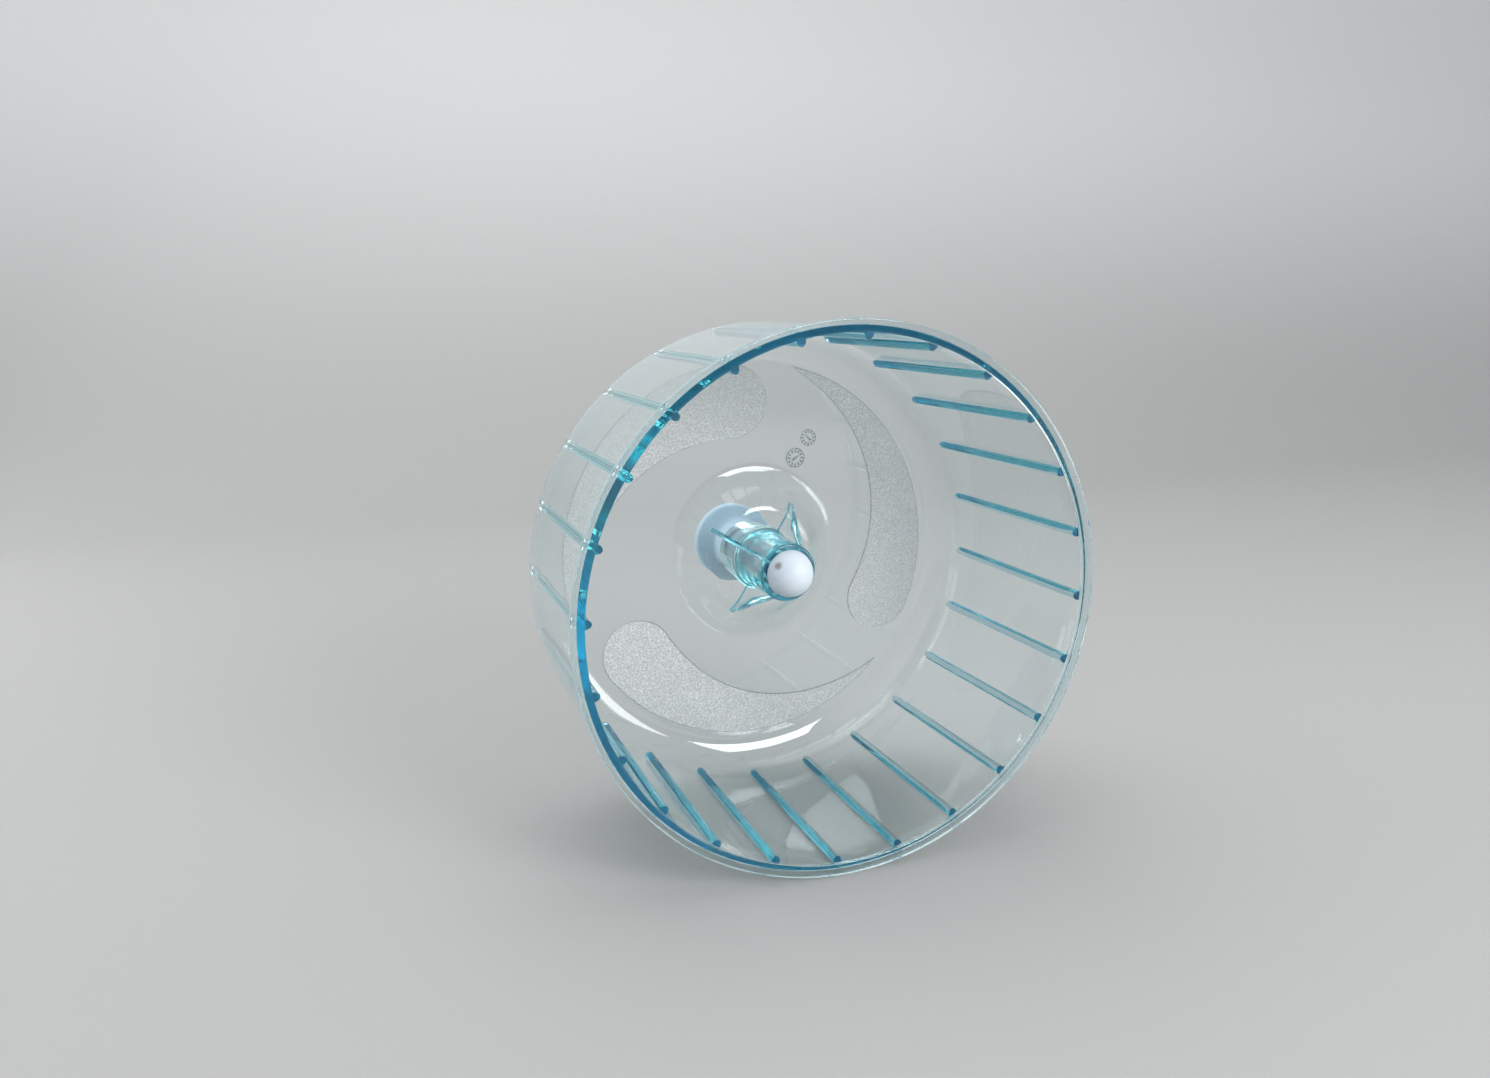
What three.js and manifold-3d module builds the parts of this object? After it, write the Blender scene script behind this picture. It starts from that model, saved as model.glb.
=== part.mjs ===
// Running wheel for a small pet: a clear one-piece drum turning on a white axle.
// Millimetres, +Z up. The axis of rotation is Y and the open side of the drum faces -Y.
// The origin is the centre of the axle's flat rear face, which goes against a cage wall or a stand.

import * as THREE from "three";
import { mergeVertices } from "three/addons/utils/BufferGeometryUtils.js";
import Module from "manifold-3d";

// Drum: rim with an outward lip, running track, rounded corner and back wall.
const DRUM_RADIUS = 70;
const DRUM_DEPTH = 70;
const WALL = 1.7;
const LIP_PROJECTION = 1.7;
const LIP_DEPTH = 2;
const RIM_EDGE_ROUND = 0.45;
const CORNER_RADIUS = 11.5;
const TRACK_DRAFT = THREE.MathUtils.degToRad(0.4);

// Rungs along the inside of the track.
const RUNG_COUNT = 24;
const RUNG_RADIUS = 1.25;
const RUNG_HEIGHT = 1.7;
const RUNG_SETBACK = 1;
const RUNG_REACH_INTO_CORNER = 2.5;
const RUNG_PHASE = THREE.MathUtils.degToRad(12.5);

// Raised hub in the middle of the back wall.
const HUB_TOP_RADIUS = 12.3;
const HUB_EDGE_ROUND = 9;
const HUB_DRAFT = THREE.MathUtils.degToRad(30);
const HUB_FOOT_FILLET = 5;
const HUB_RISE = 8.8;

// Boss: the long sleeve that runs on the axle, stiffened by gussets.
const BOSS_FRONT_RADIUS = 8.2;
const BOSS_REAR_RADIUS = 8.8;
const BOSS_HEIGHT = 18.5;
const BOSS_TAIL = 2;
const BOSS_EDGE_ROUND = 0.6;
const BOSS_FILLET = 1.2;
const GUSSET_COUNT = 4;
const GUSSET_THICKNESS = 1.3;
const GUSSET_REACH = 18.1;
const GUSSET_TOE = 0.8;
const GUSSET_SETBACK = 1;
const GUSSET_PHASE = THREE.MathUtils.degToRad(58.5);

// Axle: pin, domed cap and flanged base.
const PIN_RADIUS = 5.2;
const PIN_CHAMFER = 0.6;
const SPIGOT_RADIUS = 3;
const SPIGOT_LENGTH = 4;
const CAP_RADIUS = 6.6;
const CAP_SKIRT = 0.3;
const FLANGE_RADIUS = 12;
const FLANGE_THICKNESS = 2.5;
const FLANGE_EDGE_ROUND = 0.8;
const COLLAR_RADIUS = 7.4;
const COLLAR_LENGTH = 11.1;
const COLLAR_FILLET = 1.5;
const COLLAR_CHAMFER = 0.5;
const BASE_FLOOR = 2.2;

// Clearances.
const RUNNING_CLEARANCE = 0.35;
const END_PLAY = 0.4;
const FIT_GAP = 0.3;

// Facets.
const DRUM_SEGMENTS = 72;
const AXLE_SEGMENTS = 36;
const ARC_STEPS = 3;
const FINE_ARC_STEPS = 2;
const CAP_ARC_STEPS = 5;
const RUNG_SIDES = 10;
const RUNG_END_STEPS = 2;
const MERGE_TOLERANCE = 1e-4;

// Stations along the axis, from the mounting face forwards.
const QUARTER = Math.PI / 2;
const flangeFront = -FLANGE_THICKNESS;
const collarFront = flangeFront - COLLAR_LENGTH;
const bossRear = collarFront - END_PLAY;
const backOuter = bossRear - BOSS_TAIL;
const backInner = backOuter - WALL;
const hubFront = backInner - HUB_RISE;
const hubShoulderY = hubFront + HUB_EDGE_ROUND;
const hubFootY = backInner - HUB_FOOT_FILLET;
const hubBends = HUB_EDGE_ROUND + HUB_FOOT_FILLET;
const hubSlant = hubFootY - hubShoulderY + hubBends * Math.sin(HUB_DRAFT);
const hubFootR = HUB_TOP_RADIUS + hubBends * Math.cos(HUB_DRAFT) + hubSlant * Math.tan(HUB_DRAFT);
const bossFront = hubFront - BOSS_HEIGHT;
const capRear = bossFront - END_PLAY;
const drumFront = backOuter - DRUM_DEPTH;
const boreRadius = PIN_RADIUS + RUNNING_CLEARANCE;
const cornerCentreY = backOuter - CORNER_RADIUS;

const wasm = await Module();
wasm.setup();

// Turns a closed geometry into a solid: shared vertices merged, slivers without area left out.
function solidOf(geometry) {
  const bare = geometry.clone();
  bare.deleteAttribute("normal");
  bare.deleteAttribute("uv");
  const merged = mergeVertices(bare, MERGE_TOLERANCE);
  const corners = merged.index.array;
  const triangles = [];
  for (let i = 0; i < corners.length; i += 3) {
    const [a, b, c] = corners.slice(i, i + 3);
    if (a !== b && b !== c && c !== a) triangles.push(a, b, c);
  }
  return new wasm.Manifold(
    new wasm.Mesh({
      numProp: 3,
      vertProperties: merged.attributes.position.array,
      triVerts: new Uint32Array(triangles),
    }),
  );
}

// Turns a solid back into a geometry with flat-shaded normals.
function geometryOf(solid) {
  const { vertProperties, triVerts } = solid.getMesh();
  const geometry = new THREE.BufferGeometry();
  geometry.setAttribute("position", new THREE.BufferAttribute(new Float32Array(vertProperties), 3));
  geometry.setIndex(new THREE.BufferAttribute(new Uint32Array(triVerts), 1));
  geometry.computeVertexNormals();
  return geometry;
}

// Radius of the track's outer face at station y: the drum narrows towards its back wall.
function trackOuterRadius(y) {
  return DRUM_RADIUS - LIP_PROJECTION - Math.tan(TRACK_DRAFT) * (y - drumFront);
}

// Radius of the track's inner face at station y.
function trackInnerRadius(y) {
  return trackOuterRadius(y) - WALL / Math.cos(TRACK_DRAFT);
}

// Half section of the drum with hub and boss, in (radius, station), run from the rim backwards.
function drumProfile() {
  const cornerCentreR = trackOuterRadius(cornerCentreY) - CORNER_RADIUS / Math.cos(TRACK_DRAFT);
  const innerCorner = CORNER_RADIUS - WALL;
  const rimY = drumFront + RIM_EDGE_ROUND;
  const lipR = DRUM_RADIUS - RIM_EDGE_ROUND;
  const lipRear = drumFront + LIP_DEPTH;
  const hubRear = hubFront + WALL;
  const bossTaper = (BOSS_REAR_RADIUS - BOSS_FRONT_RADIUS) / (bossRear - bossFront);
  const bossRadius = (y) => BOSS_FRONT_RADIUS + bossTaper * (y - bossFront);
  const filletR = bossRadius(hubFront) + BOSS_FILLET;
  const filletY = hubFront - BOSS_FILLET;
  const edgeR = BOSS_FRONT_RADIUS - BOSS_EDGE_ROUND;
  const edgeY = bossFront + BOSS_EDGE_ROUND;

  const rim = new THREE.Path();
  const rimInnerR = trackInnerRadius(rimY) + RIM_EDGE_ROUND;
  rim.absarc(rimInnerR, rimY, RIM_EDGE_ROUND, Math.PI, Math.PI + QUARTER, false);
  rim.absarc(lipR, rimY, RIM_EDGE_ROUND, -QUARTER, 0, false);
  rim.absarc(lipR, lipRear - RIM_EDGE_ROUND, RIM_EDGE_ROUND, 0, QUARTER, false);
  rim.lineTo(trackOuterRadius(lipRear), lipRear);

  const outer = new THREE.Path();
  outer.absarc(cornerCentreR, cornerCentreY, CORNER_RADIUS, TRACK_DRAFT, QUARTER, false);

  const recess = new THREE.Path();
  const footTurn = Math.PI - HUB_DRAFT;
  recess.absarc(hubFootR, hubFootY, HUB_FOOT_FILLET + WALL, QUARTER, footTurn, false);
  recess.absarc(HUB_TOP_RADIUS, hubShoulderY, HUB_EDGE_ROUND - WALL, -HUB_DRAFT, -QUARTER, true);
  recess.lineTo(bossRadius(hubRear), hubRear);
  recess.lineTo(BOSS_REAR_RADIUS, bossRear);
  recess.lineTo(boreRadius, bossRear);

  const edge = new THREE.Path();
  edge.moveTo(boreRadius, bossFront);
  edge.absarc(edgeR, edgeY, BOSS_EDGE_ROUND, -QUARTER, 0, false);
  edge.absarc(filletR, filletY, BOSS_FILLET, Math.PI, QUARTER, true);

  const hub = new THREE.Path();
  hub.absarc(HUB_TOP_RADIUS, hubShoulderY, HUB_EDGE_ROUND, -QUARTER, -HUB_DRAFT, false);
  hub.absarc(hubFootR, hubFootY, HUB_FOOT_FILLET, footTurn, QUARTER, true);

  const inner = new THREE.Path();
  inner.absarc(cornerCentreR, cornerCentreY, innerCorner, QUARTER, TRACK_DRAFT, true);

  const points = [
    ...rim.getPoints(FINE_ARC_STEPS),
    ...outer.getPoints(ARC_STEPS),
    ...recess.getPoints(FINE_ARC_STEPS),
    ...edge.getPoints(FINE_ARC_STEPS),
    ...hub.getPoints(FINE_ARC_STEPS),
    ...inner.getPoints(ARC_STEPS),
  ];
  return [...points, points[0].clone()];
}

// One half-round rung lying on the track's inner face: cut off square at the front, round at the rear.
function rungSolid(angle) {
  const front = drumFront + RUNG_SETBACK;
  const rear = cornerCentreY + RUNG_REACH_INTO_CORNER;
  const middle = (front + rear) / 2;
  const sink = RUNG_HEIGHT - RUNG_RADIUS;
  const half = (rear - front) / 2;
  const section = new THREE.Path();
  section.moveTo(0, -half);
  section.lineTo(RUNG_RADIUS, -half);
  section.absarc(0, half - RUNG_RADIUS, RUNG_RADIUS, 0, QUARTER, false);
  const bar = new THREE.LatheGeometry(section.getPoints(RUNG_END_STEPS), RUNG_SIDES);
  bar.rotateZ(TRACK_DRAFT);
  bar.translate(trackInnerRadius(middle) - sink, middle, 0);
  bar.rotateY(-angle);
  return solidOf(bar);
}

// How far the hub's front falls back at a radius on its round edge.
function hubFall(radius) {
  const run = THREE.MathUtils.clamp(radius - HUB_TOP_RADIUS, 0, HUB_EDGE_ROUND * Math.cos(HUB_DRAFT));
  return HUB_EDGE_ROUND - Math.sqrt(HUB_EDGE_ROUND ** 2 - run ** 2);
}

// One triangular gusset between the boss and the hub, its foot sunk half a wall into the round edge.
function gussetSolid(angle) {
  const root = (boreRadius + BOSS_FRONT_RADIUS) / 2;
  const embedded = hubFront + WALL / 2;
  const tip = bossFront + GUSSET_SETBACK;
  const fall = hubFall(GUSSET_REACH);
  const outline = new THREE.Shape();
  outline.moveTo(root, embedded);
  outline.lineTo(root, tip);
  outline.lineTo(BOSS_FRONT_RADIUS, tip);
  outline.lineTo(GUSSET_REACH, hubFront + fall - GUSSET_TOE);
  outline.lineTo(GUSSET_REACH, embedded + fall);
  outline.lineTo(HUB_TOP_RADIUS, embedded);
  outline.closePath();
  const plate = new THREE.ExtrudeGeometry(outline, { depth: GUSSET_THICKNESS, bevelEnabled: false });
  plate.translate(0, 0, -GUSSET_THICKNESS / 2);
  plate.rotateY(-angle);
  return solidOf(plate);
}

// The drum as one moulding: shell, rungs and gussets joined.
function drumGeometry() {
  let drum = solidOf(new THREE.LatheGeometry(drumProfile(), DRUM_SEGMENTS));
  for (let i = 0; i < RUNG_COUNT; i += 1) {
    drum = drum.add(rungSolid(RUNG_PHASE + (i * 2 * Math.PI) / RUNG_COUNT));
  }
  for (let i = 0; i < GUSSET_COUNT; i += 1) {
    drum = drum.add(gussetSolid(GUSSET_PHASE + (i * 2 * Math.PI) / GUSSET_COUNT));
  }
  return geometryOf(drum);
}

// Straight pin from the bottom of the base's socket to the cap, with a spigot for the cap.
function pinGeometry() {
  const rear = -BASE_FLOOR - FIT_GAP;
  const shoulder = capRear + FIT_GAP;
  const front = shoulder - SPIGOT_LENGTH;
  const profile = [
    new THREE.Vector2(0, front),
    new THREE.Vector2(SPIGOT_RADIUS, front),
    new THREE.Vector2(SPIGOT_RADIUS, shoulder),
    new THREE.Vector2(PIN_RADIUS, shoulder),
    new THREE.Vector2(PIN_RADIUS, rear - PIN_CHAMFER),
    new THREE.Vector2(PIN_RADIUS - PIN_CHAMFER, rear),
    new THREE.Vector2(0, rear),
  ];
  return new THREE.LatheGeometry(profile, AXLE_SEGMENTS);
}

// Domed cap that keeps the drum on the pin: a hemisphere on a short skirt, with a blind socket.
function capGeometry() {
  const domeY = capRear - CAP_SKIRT;
  const socketRadius = SPIGOT_RADIUS + FIT_GAP;
  const socketEnd = capRear - SPIGOT_LENGTH;
  const profile = new THREE.Path();
  profile.absarc(0, domeY, CAP_RADIUS, -QUARTER, 0, false);
  profile.lineTo(CAP_RADIUS, capRear);
  profile.lineTo(socketRadius, capRear);
  profile.lineTo(socketRadius, socketEnd);
  profile.lineTo(0, socketEnd);
  return new THREE.LatheGeometry(profile.getPoints(CAP_ARC_STEPS), AXLE_SEGMENTS);
}

// Flanged base: a round foot with a flat rear face and a collar that carries the pin.
function baseGeometry() {
  const socketRadius = PIN_RADIUS + FIT_GAP;
  const edgeR = FLANGE_RADIUS - FLANGE_EDGE_ROUND;
  const edgeY = flangeFront + FLANGE_EDGE_ROUND;
  const filletR = COLLAR_RADIUS + COLLAR_FILLET;
  const filletY = flangeFront - COLLAR_FILLET;
  const profile = new THREE.Path();
  profile.moveTo(0, -BASE_FLOOR);
  profile.lineTo(socketRadius, -BASE_FLOOR);
  profile.lineTo(socketRadius, collarFront);
  profile.lineTo(COLLAR_RADIUS - COLLAR_CHAMFER, collarFront);
  profile.lineTo(COLLAR_RADIUS, collarFront + COLLAR_CHAMFER);
  profile.absarc(filletR, filletY, COLLAR_FILLET, Math.PI, QUARTER, true);
  profile.absarc(edgeR, edgeY, FLANGE_EDGE_ROUND, -QUARTER, 0, false);
  profile.lineTo(FLANGE_RADIUS, 0);
  profile.lineTo(0, 0);
  return new THREE.LatheGeometry(profile.getPoints(FINE_ARC_STEPS), AXLE_SEGMENTS);
}

const clearPlastic = new THREE.MeshStandardMaterial({
  color: 0xb9dbe6,
  roughness: 0.06,
  metalness: 0,
  transparent: true,
  opacity: 0.4,
});
const whitePlastic = new THREE.MeshStandardMaterial({
  color: 0xe9eaea,
  roughness: 0.38,
  metalness: 0,
});

// Adds one named piece to a group.
function addPiece(group, name, geometry, material) {
  const mesh = new THREE.Mesh(geometry, material);
  mesh.name = name;
  group.add(mesh);
}

const hamsterWheel = new THREE.Group();
const axle = new THREE.Group();
addPiece(axle, "axle_base", baseGeometry(), whitePlastic);
addPiece(axle, "axle_pin", pinGeometry(), whitePlastic);
addPiece(axle, "axle_cap", capGeometry(), whitePlastic);
hamsterWheel.add(axle);
addPiece(hamsterWheel, "wheel_drum", drumGeometry(), clearPlastic);

export default hamsterWheel;
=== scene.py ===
"""Looks of a clear running wheel for a small pet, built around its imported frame.

The wheel's axis is Y and its open side faces -Y. Sizes of pieces and studio are in millimetres, those of
finishes in metres. Every mesh is in metres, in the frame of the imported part. Angles about the axis run
from +X towards +Z.
"""

from __future__ import annotations

import logging
import math
from dataclasses import dataclass
from enum import Enum
from typing import Sequence

import bmesh
import bpy
import numpy as np
from mathutils import Euler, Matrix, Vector

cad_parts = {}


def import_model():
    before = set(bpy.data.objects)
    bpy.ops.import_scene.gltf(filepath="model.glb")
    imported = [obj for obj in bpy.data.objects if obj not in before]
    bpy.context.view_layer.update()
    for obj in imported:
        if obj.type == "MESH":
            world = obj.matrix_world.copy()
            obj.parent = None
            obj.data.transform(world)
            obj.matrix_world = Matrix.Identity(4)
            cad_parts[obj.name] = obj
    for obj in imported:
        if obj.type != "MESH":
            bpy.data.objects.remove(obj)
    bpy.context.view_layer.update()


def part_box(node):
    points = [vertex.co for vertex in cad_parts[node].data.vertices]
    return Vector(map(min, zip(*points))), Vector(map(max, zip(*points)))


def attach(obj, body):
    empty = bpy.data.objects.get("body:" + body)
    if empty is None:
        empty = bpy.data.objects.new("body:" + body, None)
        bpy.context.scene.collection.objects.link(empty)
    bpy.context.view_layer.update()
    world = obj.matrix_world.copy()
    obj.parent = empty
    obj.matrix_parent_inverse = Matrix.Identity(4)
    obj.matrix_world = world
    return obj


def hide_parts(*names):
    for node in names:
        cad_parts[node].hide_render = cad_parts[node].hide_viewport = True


LOG = logging.getLogger("running_wheel")
MM = 0.001
# Vertex attribute with the share of painted edge light: deep blue painted on the drum's edges, standing in
# for light that runs a long way inside the clear plastic.
PAINTED_LIGHT_ATTRIBUTE = "painted_edge_light"
QUARTER = math.pi / 2
FULL_TURN = 2 * math.pi
SAME_POINT_MM = 1e-6
SAME_VERTEX_M = 1e-7

Array = np.ndarray
Triple = tuple[float, float, float]
Inputs = dict[str | int, object]
Socket = bpy.types.NodeSocket
Group = bpy.types.NodeTree
Finish = bpy.types.Material
Piece = bpy.types.Object


class Body(str, Enum):
    """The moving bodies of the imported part."""

    AXLE = "axle"
    WHEEL = "wheel"


class Slot(str, Enum):
    """The record's material slots."""

    CLEAR = "clear_plastic"
    WHITE = "white_plastic"


# Profiles in (radius, station)


def directions(angle: Array | float) -> Array:
    """Unit vectors (cos t, sin t) at angles t, with a last axis of two."""
    return np.stack([np.cos(angle), np.sin(angle)], axis=-1)


def line(start: Sequence[float], end: Sequence[float], steps: int) -> Array:
    """Points evenly spaced on a straight stretch of a profile.

    Args:
        start: First point as (radius, station).
        end: Last point as (radius, station).
        steps: Number of intervals.

    Returns:
        An array of steps + 1 points.
    """
    return np.linspace(np.asarray(start, float), np.asarray(end, float), steps + 1)


def arc(centre: Sequence[float], radius: float, start: float, end: float, steps: int) -> Array:
    """Points on a round stretch of a profile: centre + radius (cos t, sin t) for t from start to end.

    Args:
        centre: Centre as (radius, station).
        radius: Radius of the round.
        start: First angle in radians.
        end: Last angle in radians.
        steps: Number of intervals.

    Returns:
        An array of steps + 1 points.
    """
    return np.asarray(centre, float) + radius * directions(np.linspace(start, end, steps + 1))


def joined(*stretches: Array) -> Array:
    """Runs profile stretches together, leaving out points that repeat the one before.

    Args:
        stretches: Arrays of profile points in order.

    Returns:
        One array of profile points.
    """
    points = np.concatenate(stretches)
    steps = np.linalg.norm(np.diff(points, axis=0), axis=1)
    return points[np.concatenate([[True], steps > SAME_POINT_MM])]


# Meshes from grids


def turned(radius: Array | float, station: Array | float, angle: Array | float) -> Array:
    """Points of a turned surface: (r cos t, station, r sin t), from millimetres to metres.

    Args:
        radius: Radii, any shape.
        station: Stations along the axis, of a shape that broadcasts.
        angle: Angles about the axis, of a shape that broadcasts.

    Returns:
        Points with a last axis of three.
    """
    radius, station, angle = np.broadcast_arrays(radius, station, angle)
    return MM * np.stack([radius * np.cos(angle), station, radius * np.sin(angle)], axis=-1)


def grid_faces(rows: int, columns: int, close_rows: bool, close_columns: bool) -> Array:
    """Quads of a grid of rows by columns, wrapping round where asked.

    Args:
        rows: Number of grid rows.
        columns: Number of grid columns.
        close_rows: Whether the last row joins the first.
        close_columns: Whether the last column joins the first.

    Returns:
        An array of vertex indices, four to a face.
    """
    row = np.arange(rows if close_rows else rows - 1)[:, None]
    column = np.arange(columns if close_columns else columns - 1)[None, :]
    next_row = (row + 1) % rows
    next_column = (column + 1) % columns
    corners = [row * columns + column, row * columns + next_column]
    corners += [next_row * columns + next_column, next_row * columns + column]
    return np.stack([np.broadcast_to(c, (row.size, column.size)) for c in corners], axis=-1).reshape(-1, 4)


def outward(points: Array, faces: Array) -> Array:
    """Quads that face outwards, turned over where the volume inside them is negative.

    The volume's sign comes from the divergence theorem: the sum of a . (b x c) over the faces' halves.

    Args:
        points: Vertex positions.
        faces: Vertex indices, four to a face.

    Returns:
        The faces in the order that points them outwards.
    """
    a, b, c, d = (points[faces[:, i]] for i in range(4))
    halves = np.einsum("ij,ij->i", a, np.cross(b, c)) + np.einsum("ij,ij->i", a, np.cross(c, d))
    return faces if halves.sum() > 0 else faces[:, ::-1]


def capped(grid: Array) -> tuple[Array, Array]:
    """Closes rows of loops with a flat face over each end, drawn to the middle of its loop.

    Args:
        grid: Points in metres, shape (rows, loop, 3).

    Returns:
        The points in one list, and their outward faces.
    """
    ends = [np.broadcast_to(grid[i].mean(axis=0), grid[i].shape) for i in (0, -1)]
    full = np.concatenate([ends[0][None], grid, ends[1][None]])
    points = full.reshape(-1, 3)
    return points, outward(points, grid_faces(*full.shape[:2], False, True))


def in_scene(name: str, data: bpy.types.ID) -> Piece:
    """Makes an object of its data and links it to the scene.

    Args:
        name: The object's name.
        data: A mesh, a lamp or a camera.

    Returns:
        The new object.
    """
    thing = bpy.data.objects.new(name, data)
    bpy.context.scene.collection.objects.link(thing)
    return thing


def bake_modifiers(piece: Piece) -> None:
    """Replaces a piece's mesh by the result of its modifiers.

    Args:
        piece: The object.
    """
    graph = bpy.context.evaluated_depsgraph_get()
    mesh = bpy.data.meshes.new_from_object(piece.evaluated_get(graph))
    piece.modifiers.clear()
    piece.data = mesh
    mesh.shade_smooth()


def mesh_object(name: str, points: Array, faces: Array, crease: float, painted_light: Array | None = None) -> Piece:
    """Makes a closed, outward-facing, smooth object with sharp edges where faces meet steeply.

    Args:
        name: The piece's name.
        points: Vertex positions in metres.
        faces: Vertex indices, four to a face, which may repeat at a pole.
        crease: Angle between faces, in degrees, past which their edge is sharp.
        painted_light: Share of painted edge light at each vertex, deep blue that stands in for light
            running inside the plastic, or nothing.

    Returns:
        The new object, linked to the scene.
    """
    mesh = bpy.data.meshes.new(name)
    mesh.from_pydata(points.tolist(), [], outward(points, faces).tolist())
    # The share of painted edge light is kept as a vertex attribute.
    if painted_light is not None:
        attribute = mesh.attributes.new(PAINTED_LIGHT_ATTRIBUTE, "FLOAT", "POINT")
        attribute.data.foreach_set("value", painted_light.astype(np.float32))
    shape = bmesh.new()
    shape.from_mesh(mesh)
    bmesh.ops.remove_doubles(shape, verts=shape.verts, dist=SAME_VERTEX_M)
    shape.to_mesh(mesh)
    shape.free()
    mesh.shade_smooth()
    mesh.set_sharp_from_angle(angle=math.radians(crease))
    return in_scene(name, mesh)


def lathe_object(name: str, profile: Array, segments: int, crease: float) -> Piece:
    """Turns a profile about the axis into a closed object.

    Args:
        name: The piece's name.
        profile: Points as (radius, station), starting and ending on the axis.
        segments: Number of steps round the axis.
        crease: Angle in degrees past which an edge is sharp.

    Returns:
        The new object.
    """
    angle = np.arange(segments) * FULL_TURN / segments
    points = turned(profile[:, None, 0], profile[:, None, 1], angle[None, :])
    faces = grid_faces(len(profile), segments, False, True)
    return mesh_object(name, points.reshape(-1, 3), faces, crease)


def slab_grid(outline: Array, base: float, height: float, chamfer: float) -> Array:
    """Grid of a thin raised slab: each row loops over the top between chamfers and back underneath.

    Args:
        outline: Rows of left and right edge points in the wheel's plane, shape (rows, 2, 2).
        base: Station of the slab's underside.
        height: How far the slab stands towards the front.
        chamfer: Width of the sloping border, at most a third of the row.

    Returns:
        Points in metres, shape (rows, 6, 3).
    """
    left, right = outline[:, 0], outline[:, 1]
    across = right - left
    width = np.linalg.norm(across, axis=1, keepdims=True)
    inset = across / width * np.minimum(chamfer, width / 3)
    middle = (left + right) / 2
    plan = np.stack([left, left + inset, middle, right - inset, right, middle], axis=1)
    station = base - height * np.array([0.0, 1.0, 1.0, 1.0, 0.0, 0.0])
    level = np.broadcast_to(station, plan.shape[:2])
    return MM * np.stack([plan[..., 0], level, plan[..., 1]], axis=-1)


def place(piece: Piece, body: Body, slot: Slot, material: Finish) -> None:
    """Dresses a piece and makes it ride on its body.

    Args:
        piece: The object.
        body: The body that carries it.
        slot: The record's slot that its finish belongs to; not used.
        material: The finish.
    """
    piece.data.materials.clear()
    piece.data.materials.append(material)
    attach(piece, body.value)
    LOG.info("%s: %d faces on %s", piece.name, len(piece.data.polygons), body.value)


# Shader building


class Nodes:
    """A node tree with short calls for adding and feeding nodes."""

    def __init__(self, tree: bpy.types.NodeTree) -> None:
        """Starts with an empty tree."""
        self.tree = tree
        tree.nodes.clear()

    def add(self, kind: str, inputs: Inputs | None = None, **settings: object) -> bpy.types.Node:
        """Adds a node, sets its properties and feeds its inputs.

        Args:
            kind: The node's type name.
            inputs: Sockets to join, or plain values to set, by the inputs' names or numbers.
            settings: Properties of the node by name.

        Returns:
            The new node.
        """
        node = self.tree.nodes.new(kind)
        for key, value in settings.items():
            setattr(node, key, value)
        for key, value in (inputs or {}).items():
            if isinstance(value, Socket):
                self.tree.links.new(value, node.inputs[key])
            else:
                node.inputs[key].default_value = value
        return node

    def math(self, operation: str, a: Socket | float, b: Socket | float) -> Socket:
        """Adds a math node and returns its result's socket."""
        return self.add("ShaderNodeMath", {0: a, 1: b}, operation=operation).outputs[0]

    def spread(self, source: Socket, low: float, gain: float) -> Socket:
        """Returns the socket of low + gain times a value."""
        return self.math("ADD", self.math("MULTIPLY", source, gain), low)

    def noise(self, vector: Socket, scale: Socket | float, detail: float) -> Socket:
        """Adds a noise texture on a vector and returns its value's socket."""
        inputs = {"Vector": vector, "Scale": scale, "Detail": detail}
        return self.add("ShaderNodeTexNoise", inputs).outputs["Fac"]

    def ramp(self, source: Socket, low: float, high: float) -> Socket:
        """Adds a smooth step that rises from 0 at low to 1 at high."""
        inputs = {"Value": source, "From Min": low, "From Max": high}
        return self.add("ShaderNodeMapRange", inputs, interpolation_type="SMOOTHSTEP").outputs["Result"]

    def part(self, vector: Socket, axis: str) -> Socket:
        """Returns the socket of a vector's part along one axis."""
        return self.add("ShaderNodeSeparateXYZ", {"Vector": vector}).outputs[axis]

    def mix(self, share: Socket, low: Socket | Triple, high: Triple) -> Socket:
        """Adds a blend from one colour to another.

        Args:
            share: The socket of the second colour's share.
            low: The first colour, or its socket.
            high: The second colour.

        Returns:
            The socket of the blended colour.
        """
        start = low if isinstance(low, Socket) else (*low, 1.0)
        inputs = {"Factor": share, "A": start, "B": (*high, 1.0)}
        return self.add("ShaderNodeMix", inputs, data_type="RGBA").outputs["Result"]

    def bump(self, height: Socket, distance: float) -> Socket:
        """Adds a bump of a depth in metres and returns its normal's socket."""
        inputs = {"Height": height, "Distance": distance}
        return self.add("ShaderNodeBump", inputs).outputs["Normal"]


class Paint(Nodes):
    """The nodes of a new material, which end in one Principled shader."""

    def __init__(self, name: str) -> None:
        """Makes the material with an empty tree.

        Args:
            name: The material's name.
        """
        self.material = bpy.data.materials.new(name)
        self.material.use_nodes = True
        super().__init__(self.material.node_tree)

    def own_place(self) -> Socket:
        """Returns the socket of the piece's own coordinates, in metres."""
        return self.add("ShaderNodeTexCoord").outputs["Object"]

    def shade(self, inputs: Inputs, volume: Socket | None = None) -> Finish:
        """Ends the material in its shader.

        Args:
            inputs: Sockets or plain values by the names of the shader's inputs.
            volume: The socket of what fills the piece, or nothing.

        Returns:
            The finished material.
        """
        ends = {"Surface": self.add("ShaderNodeBsdfPrincipled", inputs).outputs["BSDF"]}
        if volume is not None:
            ends["Volume"] = volume
        self.add("ShaderNodeOutputMaterial", ends)
        return self.material


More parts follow.
